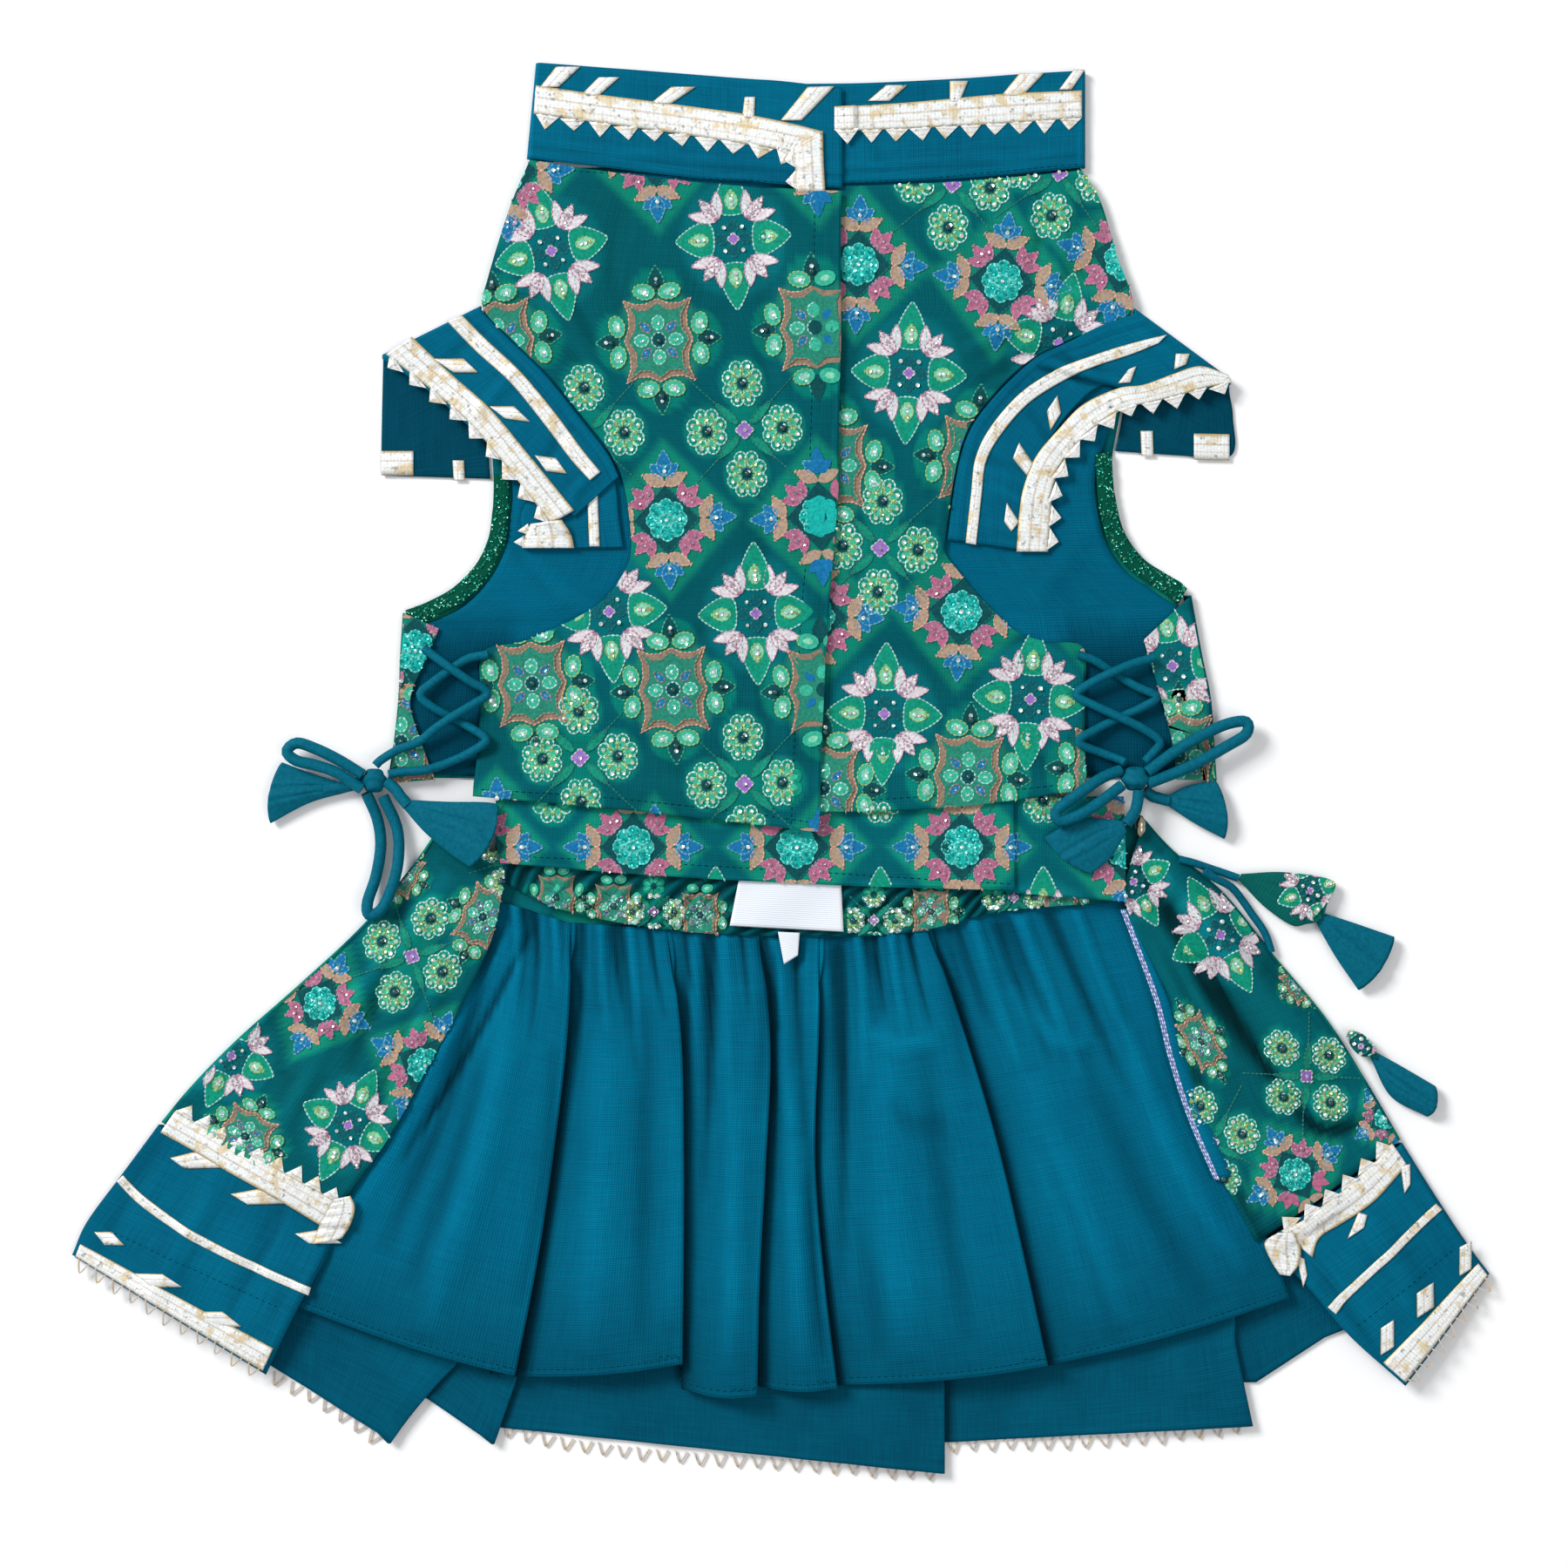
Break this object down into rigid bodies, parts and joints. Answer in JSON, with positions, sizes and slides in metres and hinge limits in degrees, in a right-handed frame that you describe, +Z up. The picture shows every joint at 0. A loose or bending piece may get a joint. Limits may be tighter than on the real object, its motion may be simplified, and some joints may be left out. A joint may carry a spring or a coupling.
{
  "type": "dog lehenga set",
  "caption": "Dog's choli and gathered lehenga skirt laid flat, belly side up, with laced sides, gota trim, a belly strap and tasselled cords.",
  "frame": {"origin": "middle of the garment's box, on the surface it lies on", "axes": "+Z up from the surface, +Y from the skirt towards the collar, +X to the viewer's right looking down"},
  "size_m": [0.5419, 0.5386, 0.0162],
  "materials": {
    "printed_cloth": "printed and embroidered silk-cotton with fine sequins and beads",
    "teal_silk": "plain art silk with a soft sheen",
    "teal_lining": "matt cotton lining",
    "gota_lace": "woven silver and pale gold metallic ribbon lace",
    "dori_cord": "stitched silk tube cord",
    "label_satin": "woven satin label, blank",
    "bead_metal": "polished silver-coloured bead"
  },
  "bodies": {
    "root": {"armhole_facing_left": "printed_cloth", "armhole_facing_right": "printed_cloth", "belly_strap_left": "printed_cloth", "belly_strap_right": "printed_cloth", "border_stripe_left": "gota_lace", "border_stripe_right": "gota_lace", "bow_loop_left_a": "dori_cord", "bow_loop_left_b": "dori_cord", "bow_loop_right_a": "dori_cord", "bow_loop_right_b": "dori_cord", "choli_back": "printed_cloth", "choli_back_lining": "teal_lining", "choli_front_left": "printed_cloth", "choli_front_right": "printed_cloth", "collar_band": "teal_silk", "collar_lace_left": "gota_lace", "collar_lace_right": "gota_lace", "cone_left_a": "dori_cord", "cone_left_b": "dori_cord", "cone_right_a": "dori_cord", "cone_right_b": "dori_cord", "hem_lace_left": "gota_lace", "hem_lace_right": "gota_lace", "knot_left": "dori_cord", "knot_right": "dori_cord", "lacing_left_a": "dori_cord", "lacing_left_b": "dori_cord", "lacing_right_a": "dori_cord", "lacing_right_b": "dori_cord", "side_turn_left": "printed_cloth", "side_turn_right": "printed_cloth", "size_tab": "label_satin", "skirt_border": "teal_silk", "skirt_lining": "teal_lining", "skirt_panel": "printed_cloth", "sleeve_lace_left": "gota_lace", "sleeve_lace_right": "gota_lace", "sleeve_left": "teal_silk", "sleeve_left_end": "teal_silk", "sleeve_right": "teal_silk", "sleeve_stripe_left": "gota_lace", "sleeve_stripe_right": "gota_lace", "tail_left_a": "dori_cord", "tail_left_b": "dori_cord", "tail_right_a": "dori_cord", "tail_right_b": "dori_cord", "tassel_cap_a": "printed_cloth", "tassel_cap_b": "printed_cloth", "tassel_cone_a": "dori_cord", "tassel_cone_b": "dori_cord", "upper_lace_left": "gota_lace", "upper_lace_right": "gota_lace", "waist_bead": "bead_metal", "waist_casing": "printed_cloth", "waist_cord_a": "dori_cord", "waist_cord_b": "dori_cord", "wing_lining_right": "teal_lining", "woven_label": "label_satin"}
  },
  "joints": []
}
